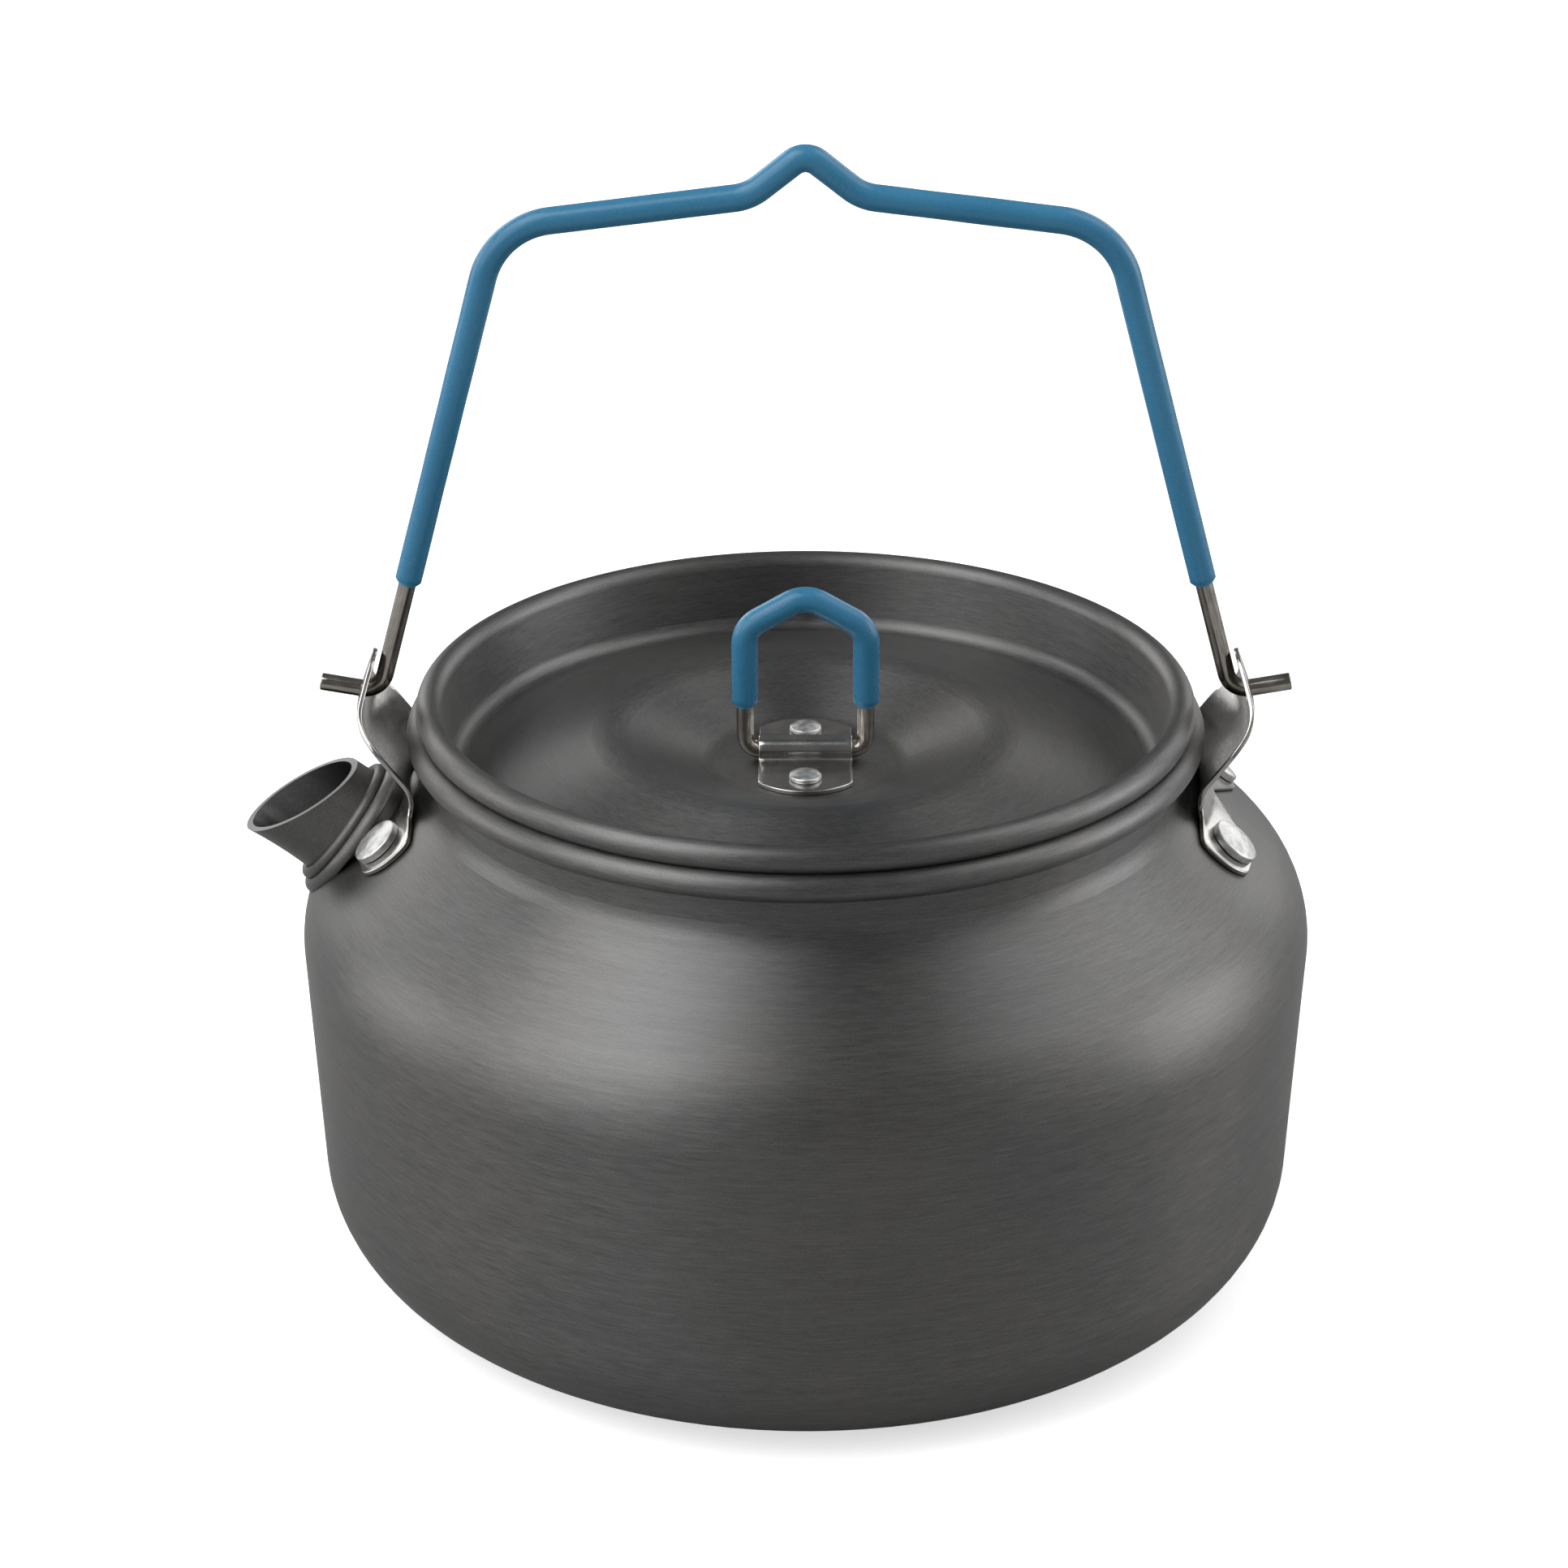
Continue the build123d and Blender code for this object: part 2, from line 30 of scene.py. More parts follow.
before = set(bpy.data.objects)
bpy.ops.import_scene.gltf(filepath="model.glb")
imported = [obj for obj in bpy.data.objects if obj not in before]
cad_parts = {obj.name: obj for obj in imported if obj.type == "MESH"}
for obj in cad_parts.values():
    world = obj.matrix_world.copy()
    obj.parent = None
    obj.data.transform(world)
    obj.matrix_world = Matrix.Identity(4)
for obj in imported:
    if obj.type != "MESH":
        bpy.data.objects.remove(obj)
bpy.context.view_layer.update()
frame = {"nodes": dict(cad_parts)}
nodes = frame["nodes"]
scene = bpy.context.scene

# ---- Driving dimensions --------------------------------------------------------------------

WIRE_RADIUS = 0.0014
SLEEVE_RADIUS = 0.00215
SLEEVE_BORE = 0.00142           # inside of a sleeve, just clear of the wire
SLEEVE_LIP = 0.0007             # rounding of a sleeve's end
SLEEVE_WAVE = 0.00007           # how much a dipped sleeve's thickness varies
SLEEVE_WAVE_TURNS = 90          # waves per metre
SLEEVE_WAVE_DROP = 0.6          # moves the waves inward, to about SLEEVE_RADIUS at most
WIRE_EDGE = 0.00022             # rounding of a wire's cut ends
WIRE_SIDES = 32
SLEEVE_SIDES = 40

BAIL_PEAK = (0, 0.1838, 0.0032)             # x, z and bend radius of each corner of the wire
BAIL_NOTCH = (0.0086, 0.1770, 0.0080)
BAIL_SHOULDER = (0.0474, 0.1722, 0.0125)
BAIL_FOOT = (0.0685, 0.0953, 0.0035)
BAIL_STUB_END = (0.0781, 0.0970, 0)
BAIL_SLEEVE_FOOT = 0.1138

LOOP_PEAK = (0, 0.1118, 0.0050)
LOOP_HALF_WIDTH = 0.00977
LOOP_ROOF = math.radians(30)
LOOP_SHOULDER_BEND = 0.0045
LOOP_HINGE_HEIGHT = 0.08505
LOOP_FOOT_BEND = 0.0024
LOOP_END = 0.0005
LOOP_SLEEVE_FOOT = 0.0927

SPOUT_POINT = (-0.0750, 0.0717)             # a point on the spout's axis, in x and z
SPOUT_RISE = math.radians(37.5)

FIT_GAP = 0.00002                           # gap between pieces that touch
WIDEST_RADIUS = 0.0825
WIDEST_HEIGHT = 0.0553
SHOULDER_RADIUS = 0.0173
CONE_NORMAL = math.radians(50)              # above level, of the shoulder cone's outward normal
BODY_SHEET = 0.0010
LID_SHEET = 0.0009

LUG_SHEET = 0.0008
LUG_BULGE = (0.0722, 0.0938)                # radius and height of the outward bulge
LUG_WEB_LEAN = math.radians(36)
LUG_EAR_LEAN = math.radians(20)
LUG_EAR_LENGTH = 0.0110
LUG_BEND = 0.0049
LUG_EAR_HOLE = 0.0018
PIVOT_HEIGHT = 0.0956
LUG_EDGE = [                                # half of the edge seen along X: y, z and bend radius
    (0, 0.0774, 0),
    (0.0016, 0.0770, 0.0040),
    (0.0134, 0.0719, 0.0030),
    (0.0221, 0.0719, 0.0026),
    (0.0210, 0.0776, 0.0032),
    (0.0136, 0.0798, 0.0020),
    (0.0136, 0.0904, 0.0036),
    (0.00234, 0.1023, 0.0052),
]
LUG_RIVET_RADIUS = 0.0693                   # distance of the rivet from the kettle's axis
LUG_RIVET_ANGLE = math.radians(12.5)        # to each side of the bail's line
LUG_RIVET_SLACK = 0.00015                   # lets the flat tail clear the inside of the shoulder
LUG_RIVET_HOLE = 0.00204
COLLAR_CUT = 0.0128                         # round gap that the spout's collar needs in its lug
COLLAR_CUT_BEND = 0.0006
SHEET_EDGE = 0.00022                        # rounding of a pressed sheet's edges

LID_SEAT_HEIGHT = 0.0834
CLIP_SHEET = 0.0008
CLIP_BARREL = 0.0016
CLIP_FOOT_BEND = 0.0012
CLIP_HALF_WIDTH = 0.0076
CLIP_HALF_LENGTH = 0.0148
CLIP_END_RADIUS = 0.0095
CLIP_RIVET_REACH = 0.0097                   # distance from the clip's middle
CLIP_RIVET_HOLE = 0.00154

LUG_RIVET = {"shank": 0.0020, "head": 0.0041, "rim": 0.0012, "dome": 0.0007, "tail": 0.0009}
CLIP_RIVET = {"shank": 0.0015, "head": 0.0026, "rim": 0.0007, "dome": 0.0006, "tail": 0.0008}
RIVET_EDGE = 0.00028                        # rounding where the rim meets the dome
RIVET_CHAMFER = 0.0001
RIVET_TIP = 0.00005                         # radius of the small flat on the rivet's axis
RIVET_DENT = 0.00004                        # depth of the tool's dents
RIVET_DENTS = 700                           # dents per metre
RIVET_SIDES = 48
RIVET_RING_STEP = 0.0004                    # distance between its rings in the texture's map

EDGE_STEPS = [math.radians(angle) for angle in (0, 30, 60, 90)]     # of every rounded edge


# ---- Materials -----------------------------------------------------------------------------

def new_material(name):
    """Empty material with a Principled surface; returns the material, its tree and the shader."""
    material = bpy.data.materials.new(name)
    material.use_nodes = True
    tree = material.node_tree
    return material, tree, tree.nodes["Principled BSDF"]


def join(tree, value, socket):
    """Sets a socket to a plain value, or links it from another node's output."""
    if isinstance(value, bpy.types.NodeSocket):
        tree.links.new(value, socket)
    else:
        socket.default_value = value


def add(tree, kind, inputs, output=0, **settings):
    """Adds one node with its settings and inputs, and returns one of its outputs."""
    made = tree.nodes.new("ShaderNode" + kind)
    for name, value in settings.items():
        setattr(made, name, value)
    for key, value in inputs.items():
        join(tree, value, made.inputs[key])
    return made.outputs[output]


def calculate(tree, operation, first, second=0.0):
    """One step of arithmetic on two numbers."""
    return add(tree, "Math", {0: first, 1: second}, operation=operation)


def vectors(tree, operation, first, second=(0, 0, 0), output=0):
    """One step of vector arithmetic."""
    inputs = {0: first, 1: second}
    return add(tree, "VectorMath", inputs, output, operation=operation)


def spread(tree, value, low, high, start=0.3, end=0.7):
    """Maps a noise value between start and end to the range low to high."""
    inputs = {"Value": value, "From Min": start, "From Max": end, "To Min": low, "To Max": high}
    return add(tree, "MapRange", inputs)


def mixed(tree, factor, first, second, way="MIX"):
    """Mix of two colours; 0, 6, 7 and 2 are the colour sockets of Blender's Mix node."""
    inputs = {0: factor, 6: first, 7: second}
    return add(tree, "Mix", inputs, 2, data_type="RGBA", blend_type=way)


def tint(tree, value, dark, light, start=0.3, end=0.7):
    """Maps a noise value to a colour between dark and light."""
    return mixed(tree, spread(tree, value, 0, 1, start, end), (*dark, 1), (*light, 1))


def grey(value):
    """Neutral colour."""
    return (value, value, value)


def multiply(tree, first, second):
    """Product of two colours."""
    return mixed(tree, 1, first, second, "MULTIPLY")


def clouds(tree, vector, scale, detail=2.0):
    """Noise in three dimensions."""
    inputs = {"Vector": vector, "Scale": scale, "Detail": detail}
    return add(tree, "TexNoise", inputs, noise_dimensions="3D")


def bumped(tree, height, depth, normal=None):
    """Normal bent by a height field that is depth metres from lowest to highest."""
    inputs = {"Height": height, "Distance": depth, "Strength": 1.0}
    if normal is not None:
        inputs["Normal"] = normal
    return add(tree, "Bump", inputs)


def ring_position(tree, axis_point, axis_way):
    """Radius, station and the two sides of the turn of a surface spun about an axis."""
    place = add(tree, "TexCoord", {}, "Object")
    across = Vector((0, 1, 0))
    side = across.cross(Vector(axis_way))
    from_axis = vectors(tree, "SUBTRACT", place, axis_point)
    first = vectors(tree, "DOT_PRODUCT", from_axis, tuple(across), "Value")
    second = vectors(tree, "DOT_PRODUCT", from_axis, tuple(side), "Value")
    station = vectors(tree, "DOT_PRODUCT", from_axis, axis_way, "Value")
    first_square = calculate(tree, "POWER", first, 2)
    squares = calculate(tree, "ADD", first_square, calculate(tree, "POWER", second, 2))
    radius = calculate(tree, "MAXIMUM", calculate(tree, "SQRT", squares), 1e-5)
    turn = calculate(tree, "DIVIDE", first, radius), calculate(tree, "DIVIDE", second, radius)
    around = vectors(tree, "CROSS_PRODUCT", axis_way, from_axis)
    return radius, station, turn, around


def spun_lines(tree, ring, pitch, runs, detail=2.0):
    """Noise in thin rings round the axis: pitch metres apart, broken up runs times per radian."""
    radius, station, turn, _ = ring
    along = add(tree, "CombineXYZ", {
        "X": calculate(tree, "DIVIDE", radius, pitch),
        "Y": calculate(tree, "DIVIDE", station, pitch),
        "Z": calculate(tree, "MULTIPLY", turn[0], runs),
    })
    other_turn = calculate(tree, "MULTIPLY", turn[1], runs)
    inputs = {"Vector": along, "W": other_turn, "Scale": 1.0, "Detail": detail}
    return add(tree, "TexNoise", inputs, noise_dimensions="4D")


def anodised_aluminium(name, axis_point=(0, 0, 0), axis_way=(0, 0, 1)):
    """Dark hard-anodised aluminium, spun about an axis: satin, with fine rings and soft wear."""
    material, tree, surface = new_material(name)
    ring = ring_position(tree, axis_point, axis_way)
    place = add(tree, "TexCoord", {}, "Object")
    fine = spun_lines(tree, ring, pitch=0.00020, runs=22)
    coarse = spun_lines(tree, ring, pitch=0.0011, runs=5)
    patches = clouds(tree, place, scale=28, detail=3.0)
    grain = clouds(tree, place, scale=5200, detail=1.0)
    colour = tint(tree, fine, (0.132, 0.131, 0.129), (0.190, 0.189, 0.186), start=0.25, end=0.75)
    colour = multiply(tree, colour, tint(tree, coarse, grey(0.95), grey(1.05)))
    colour = multiply(tree, colour, tint(tree, grain, grey(0.90), grey(1.10)))
    colour = multiply(tree, colour, tint(tree, patches, (0.94, 0.95, 0.97), (1.06, 1.045, 1.02)))
    wear = spread(tree, patches, low=-0.02, high=0.03)
    roughness = calculate(tree, "ADD", spread(tree, fine, low=0.42, high=0.50), wear)
    lines = bumped(tree, fine, depth=0.000004)
    join(tree, colour, surface.inputs["Base Color"])
    join(tree, roughness, surface.inputs["Roughness"])
    join(tree, bumped(tree, grain, depth=0.0000012, normal=lines), surface.inputs["Normal"])
    surface.inputs["Metallic"].default_value = 1.0
    surface.inputs["Anisotropic"].default_value = 0.65
    facing = add(tree, "NewGeometry", {}, "Normal")
    join(tree, vectors(tree, "CROSS_PRODUCT", facing, ring[3]), surface.inputs["Tangent"])
    return material


def stainless_sheet(name):
    """Rolled stainless sheet with fine long scratches and faint smears."""
    material, tree, surface = new_material(name)
    place = add(tree, "TexCoord", {}, "Object")
    rolled = clouds(tree, vectors(tree, "MULTIPLY", place, (900, 900, 9000)), scale=1.0)
    scratched = clouds(tree, vectors(tree, "MULTIPLY", place, (6500, 500, 500)), scale=1.0)
    smears = clouds(tree, place, scale=160)
    colour = tint(tree, smears, (0.40, 0.388, 0.372), (0.56, 0.548, 0.530))
    scratches = spread(tree, scratched, low=-0.04, high=0.06)
    roughness = calculate(tree, "ADD", spread(tree, smears, low=0.15, high=0.23), scratches)
    join(tree, colour, surface.inputs["Base Color"])
    join(tree, roughness, surface.inputs["Roughness"])
    height = calculate(tree, "ADD", rolled, scratched)
    join(tree, bumped(tree, height, depth=0.0000012), surface.inputs["Normal"])
    surface.inputs["Metallic"].default_value = 1.0
    return material


def stainless_wire(name):
    """Drawn stainless wire: brownish, with bright streaks that run along it."""
    material, tree, surface = new_material(name)
    uv = add(tree, "TexCoord", {}, "UV")
    angle = calculate(tree, "MULTIPLY", add(tree, "SeparateXYZ", {0: uv}, "X"), 2 * math.pi)
    station = add(tree, "SeparateXYZ", {0: uv}, "Y")
    streaks_round = 9           # how fine the streaks are round the wire
    streaks_along = 260         # and along it, per metre
    along = add(tree, "CombineXYZ", {
        "X": calculate(tree, "MULTIPLY", calculate(tree, "COSINE", angle), streaks_round),
        "Y": calculate(tree, "MULTIPLY", calculate(tree, "SINE", angle), streaks_round),
        "Z": calculate(tree, "MULTIPLY", station, streaks_along),
    })
    streaks = clouds(tree, along, scale=1.0)
    stains = clouds(tree, add(tree, "TexCoord", {}, "Object"), scale=420)
    colour = tint(tree, streaks, (0.30, 0.278, 0.250), (0.56, 0.535, 0.50))
    colour = multiply(tree, colour, tint(tree, stains, (0.80, 0.78, 0.74), grey(1.08)))
    join(tree, colour, surface.inputs["Base Color"])
    join(tree, spread(tree, streaks, low=0.12, high=0.22), surface.inputs["Roughness"])
    join(tree, bumped(tree, streaks, depth=0.000005), surface.inputs["Normal"])
    surface.inputs["Metallic"].default_value = 1.0
    return material


def rivet_aluminium(name):
    """Matte aluminium rivet, mottled where the tool pressed it."""
    material, tree, surface = new_material(name)
    place = add(tree, "TexCoord", {}, "Object")
    mottle = clouds(tree, place, scale=900, detail=3.0)
    grain = clouds(tree, place, scale=5200)
    colour = tint(tree, mottle, (0.50, 0.50, 0.497), (0.78, 0.776, 0.772))
    join(tree, colour, surface.inputs["Base Color"])
    join(tree, spread(tree, mottle, low=0.34, high=0.48), surface.inputs["Roughness"])
    dents = bumped(tree, mottle, depth=0.00006)
    join(tree, bumped(tree, grain, depth=0.000006, normal=dents), surface.inputs["Normal"])
    surface.inputs["Metallic"].default_value = 1.0
    return material


def blue_vinyl(name):
    """Dipped blue vinyl with a soft sheen, faint specks and a very faint orange peel."""
    material, tree, surface = new_material(name)
    place = add(tree, "TexCoord", {}, "Object")
    shade = clouds(tree, place, scale=45, detail=1.0)
    specks = clouds(tree, place, scale=2600, detail=1.0)
    peel = clouds(tree, place, scale=900)
    colour = tint(tree, shade, (0.034, 0.190, 0.345), (0.048, 0.230, 0.400))
    colour = multiply(tree, colour, tint(tree, specks, (0.975, 0.98, 0.98), grey(1.02)))
    join(tree, colour, surface.inputs["Base Color"])
    join(tree, spread(tree, peel, low=0.24, high=0.34), surface.inputs["Roughness"])
    join(tree, bumped(tree, peel, depth=0.000002), surface.inputs["Normal"])
    surface.inputs["Specular IOR Level"].default_value = 0.45
    surface.inputs["Subsurface Weight"].default_value = 0.06
    surface.inputs["Subsurface Radius"].default_value = (0.2, 0.6, 1.0)
    surface.inputs["Subsurface Scale"].default_value = 0.001
    return material


SPOUT_AXIS = (-math.cos(SPOUT_RISE), 0, math.sin(SPOUT_RISE))
ANODISED = anodised_aluminium("anodised_aluminium_spun")
SPOUT_ANODISED = anodised_aluminium(
    "anodised_aluminium_spout", (SPOUT_POINT[0], 0, SPOUT_POINT[1]), SPOUT_AXIS
)
SHEET = stainless_sheet("stainless_sheet_rolled")
WIRE = stainless_wire("stainless_wire_drawn")
RIVET = rivet_aluminium("rivet_aluminium_pressed")
VINYL = blue_vinyl("blue_vinyl_dipped")


def coat(piece, material):
    """Gives a piece one material in all its slots."""
    piece.data.materials.clear()
    piece.data.materials.append(material)


def new_object(name, mesh):
    """Object in the scene from a finished mesh."""
    data = bpy.data.meshes.new(name)
    mesh.to_mesh(data)
    mesh.free()
    made = bpy.data.objects.new(name, data)
    scene.collection.objects.link(made)
    return made


def new_piece(name, mesh, material, body, node):
    """Visible piece that rides on a body in place of a CAD node."""
    bmesh.ops.recalc_face_normals(mesh, faces=mesh.faces)
    piece = new_object(name, mesh)
    coat(piece, material)
    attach(piece, body)
    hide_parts(node)
    return piece


def smooth_flats(piece):
    """Shades a piece smooth; its large flat faces still look flat."""
    for face in piece.data.polygons:
        face.use_smooth = True
    piece.modifiers.new("flat_faces_stay_flat", "WEIGHTED_NORMAL").keep_sharp = False


# ---- Bent wires and their sleeves ----------------------------------------------------------

def rounded_path(corners, turn_step=math.radians(4), line_step=0.0015):
    """Points along straight lines and round bends in the XZ plane, from (x, z, bend) corners."""
    places = [Vector((x, 0, z)) for x, z, _ in corners]
    points = [places[0]]
    for before, place, after, corner in zip(places, places[1:], places[2:], corners[1:]):
        if not corner[2]:
            add_line(points, place, line_step)
            continue
        into = (place - before).normalized()
        out = (after - place).normalized()
        turn = into.angle(out)
        reach = corner[2] * math.tan(turn / 2)
        centre = place + (out - into).normalized() * corner[2] / math.cos(turn / 2)
        arm = place - into * reach - centre
        axis = into.cross(out).normalized()
        steps = max(2, math.ceil(turn / turn_step))
        add_line(points, place - into * reach, line_step)
        for step in range(1, steps + 1):
            points.append(centre + Quaternion(axis, turn * step / steps) @ arm)
    add_line(points, places[-1], line_step)
    return points


def add_line(points, end, line_step):
    """Adds evenly spaced points from the last one to end."""
    start = points[-1]
    steps = max(1, math.ceil((end - start).length / line_step))
    for step in range(1, steps + 1):
        points.append(start.lerp(end, step / steps))


def mirrored(peak, half):
    """Whole symmetric list of corners from the one on the middle plane and one half beside it."""
    return [(-x, z, bend) for x, z, bend in reversed(half)] + [peak] + half


def ring_mesh(rings, lengths, closed=False):
    """Mesh over rings of equal point counts, with UVs as turn and distance along; ends are capped."""
    mesh = bmesh.new()
    layer = mesh.loops.layers.uv.new("turn_and_length")
    rows = [[mesh.verts.new(point) for point in ring] for ring in rings]
    count = len(rings[0])
    pairs = list(zip(range(len(rows)), range(1, len(rows))))
    if closed:
        pairs.append((len(rows) - 1, 0))
    for first, second in pairs:
        for index in range(count):
            after = (index + 1) % count
            near = rows[first][index], rows[first][after]
            far = rows[second][after], rows[second][index]
            face = mesh.faces.new(near + far)
            turns = (index, index + 1, index + 1, index)
            stations = (lengths[first], lengths[first], lengths[second], lengths[second])
            for loop, turn, station in zip(face.loops, turns, stations):
                loop[layer].uv = (turn / count, station)
    if not closed:
        mesh.faces.new(reversed(rows[0]))
        mesh.faces.new(rows[-1])
    for face in mesh.faces:
        face.smooth = len(face.verts) == 4
    return mesh


def path_frames(points):
    """For each point of a path in the XZ plane: the point, its distance along and its side way."""
    frames = []
    distance = 0.0
    for index, point in enumerate(points):
        before = points[max(index - 1, 0)]
        after = points[min(index + 1, len(points) - 1)]
        if index:
            distance += (point - before).length
        way = (after - before).normalized()
        frames.append((point, distance, way, way.cross(Vector((0, 1, 0)))))
    return frames


def ring_points(place, side, radius, count):
    """Points on a circle square to a path in the XZ plane."""
    ring = []
    for index in range(count):
        angle = 2 * math.pi * index / count
        level = place + Vector((0, 1, 0)) * radius * math.cos(angle)
        ring.append(level + side * radius * math.sin(angle))
    return ring


def bent_wire(name, corners, node, body):
    """Round wire with small rounded edges at its cut ends."""
    frames = path_frames(rounded_path(corners))
    rings = []
    lengths = []
    for place, distance, _, side in frames:
        rings.append(ring_points(place, side, WIRE_RADIUS, WIRE_SIDES))
        lengths.append(distance)
    for end, sign in ((0, 1), (-1, -1)):
        place, distance, way, side = frames[end]
        inward = way * sign * WIRE_EDGE
        rings[end] = ring_points(place + inward, side, WIRE_RADIUS, WIRE_SIDES)
        for angle in EDGE_STEPS[1:]:
            radius = WIRE_RADIUS - WIRE_EDGE * (1 - math.cos(angle))
            station = place + inward * (1 - math.sin(angle))
            extra = ring_points(station, side, radius, WIRE_SIDES)
            if sign > 0:
                rings.insert(0, extra)
                lengths.insert(0, distance)
            else:
                rings.append(extra)
                lengths.append(distance)
    new_piece(name, ring_mesh(rings, lengths), WIRE, body, node)


def dipped_sleeve(name, corners, node, body, seed):
    """Vinyl tube over a wire, a little uneven along its length, with rounded ends."""
    frames = path_frames(rounded_path(corners, turn_step=math.radians(3), line_step=0.0008))
    total = frames[-1][1]
    outer = []
    inner = []
    lengths = []
    for place, distance, _, side in frames:
        from_end = min(distance, total - distance)
        lip = min(from_end / SLEEVE_LIP, 1.0)
        rounding = SLEEVE_BORE + (SLEEVE_RADIUS - SLEEVE_BORE) * math.sqrt(1 - (1 - lip) ** 2)
        wave = noise.noise(Vector((distance * SLEEVE_WAVE_TURNS, seed, 0))) - SLEEVE_WAVE_DROP
        radius = rounding + SLEEVE_WAVE * wave * lip
        outer.append(ring_points(place, side, radius, SLEEVE_SIDES))
        inner.append(ring_points(place, side, SLEEVE_BORE, SLEEVE_SIDES))
        lengths.append(distance)
    mesh = ring_mesh(outer + inner[::-1], lengths + lengths[::-1], closed=True)
    new_piece(name, mesh, VINYL, body, node)


bail_half = [BAIL_NOTCH, BAIL_SHOULDER]
leg_slope = (BAIL_SHOULDER[0] - BAIL_FOOT[0]) / (BAIL_SHOULDER[1] - BAIL_FOOT[1])
leg_end = BAIL_FOOT[0] + leg_slope * (BAIL_SLEEVE_FOOT - BAIL_FOOT[1])
bail_path = mirrored(BAIL_PEAK, bail_half + [BAIL_FOOT, BAIL_STUB_END])
bent_wire("bail_wire_drawn", bail_path, "bail_wire", "bail")
sleeve_path = mirrored(BAIL_PEAK, bail_half + [(leg_end, BAIL_SLEEVE_FOOT, 0)])
dipped_sleeve("bail_sleeve_dipped", sleeve_path, "bail_sleeve", "bail", seed=3)

loop_eaves = LOOP_PEAK[1] - LOOP_HALF_WIDTH * math.tan(LOOP_ROOF)
loop_half = [
    (LOOP_HALF_WIDTH, loop_eaves, LOOP_SHOULDER_BEND),
    (LOOP_HALF_WIDTH, LOOP_HINGE_HEIGHT, LOOP_FOOT_BEND),
    (LOOP_END, LOOP_HINGE_HEIGHT, 0),
]
bent_wire("lid_loop_wire_drawn", mirrored(LOOP_PEAK, loop_half), "lid_loop_wire", "lid_loop")
sleeve_path = mirrored(LOOP_PEAK, [loop_half[0], (LOOP_HALF_WIDTH, LOOP_SLEEVE_FOOT, 0)])
dipped_sleeve("lid_loop_sleeve_dipped", sleeve_path, "lid_loop_sleeve", "lid_loop", seed=11)


# ---- Pressed sheets: the lugs and the lid clip ---------------------------------------------

def inset(ring, distance):
    """A closed flat ring of points, moved to its left by distance."""
    moved = []
    for before, point, after in zip(ring[-1:] + ring[:-1], ring, ring[1:] + ring[:1]):
        way = (after - before).normalized()
        moved.append(point + Vector((-way.y, way.x)) * distance)
    return moved


def is_inside(point, ring):
    """Whether a flat point is inside a closed ring."""
    inside = False
    for first, second in zip(ring, ring[1:] + ring[:1]):
        if (first.y > point.y) != (second.y > point.y):
            cross = first.x + (point.y - first.y) / (second.y - first.y) * (second.x - first.x)
            inside ^= point.x < cross
    return inside


def in_any(point, holes):
    """Whether a flat point is inside one of several closed rings."""
    return any(is_inside(point, hole) for hole in holes)


EDGE_MARGIN = 0.6               # least distance of a filling point from the edge, in spacings
FILL_INSIDE = 1                 # the triangulation's choice to keep only what the edges enclose
SAME_POINT = 1e-9


def filled(rings, spacing):
    """Points and triangles that fill the first ring but not the others."""
    points = [point for ring in rings for point in ring]
    tree = kdtree.KDTree(len(points))
    for index, point in enumerate(points):
        tree.insert(point.to_3d(), index)
    tree.balance()
    edges = []
    start = 0
    for ring in rings:
        edges += [(start + index, start + (index + 1) % len(ring)) for index in range(len(ring))]
        start += len(ring)
    low = Vector((min(point.x for point in rings[0]), min(point.y for point in rings[0])))
    high = Vector((max(point.x for point in rings[0]), max(point.y for point in rings[0])))
    for column in range(1, int((high.x - low.x) / spacing[0]) + 1):
        for row in range(1, int((high.y - low.y) / spacing[1]) + 1):
            point = low + Vector((column * spacing[0], row * spacing[1]))
            clear = tree.find(point.to_3d())[2] > min(spacing) * EDGE_MARGIN
            if clear and is_inside(point, rings[0]) and not in_any(point, rings[1:]):
                points.append(point)
    made = delaunay_2d_cdt(points, edges, [], FILL_INSIDE, SAME_POINT)
    places, faces, sources = made[0], made[2], made[3]
    triangles = []
    for triangle in faces:
        middle = sum((places[corner] for corner in triangle), Vector((0, 0))) / 3
        if not in_any(middle, rings[1:]):
            triangles.append([sources[corner][0] for corner in triangle])
    return points, triangles


def pressed_sheet(name, outline, holes, spacing, lift, thickness, body, node):
    """Bent sheet with rounded edges; lift carries a flat point and a height onto the bend."""
    steps = [
        (SHEET_EDGE * (1 - math.sin(angle)), thickness / 2 - SHEET_EDGE * (1 - math.cos(angle)))
        for angle in EDGE_STEPS
    ]
    steps += [(reach, -height) for reach, height in reversed(steps)]
    rings = [inset(ring, SHEET_EDGE) for ring in [outline] + holes]
    points, triangles = filled(rings, spacing)
    mesh = bmesh.new()
    outer = [mesh.verts.new(lift(point, thickness / 2)) for point in points]
    inner = [mesh.verts.new(lift(point, -thickness / 2)) for point in points]
    for triangle in triangles:
        mesh.faces.new([outer[corner] for corner in triangle])
        mesh.faces.new([inner[corner] for corner in reversed(triangle)])
    start = 0
    for ring in [outline] + holes:
        count = len(ring)
        rows = [outer[start:start + count]]
        for reach, height in steps[1:-1]:
            rows.append([mesh.verts.new(lift(point, height)) for point in inset(ring, reach)])
        rows.append(inner[start:start + count])
        for first, second in zip(rows, rows[1:]):
            for index in range(count):
                after = (index + 1) % count
                mesh.faces.new((first[index], second[index], second[after], first[after]))
        start += count
    smooth_flats(new_piece(name, mesh, SHEET, body, node))


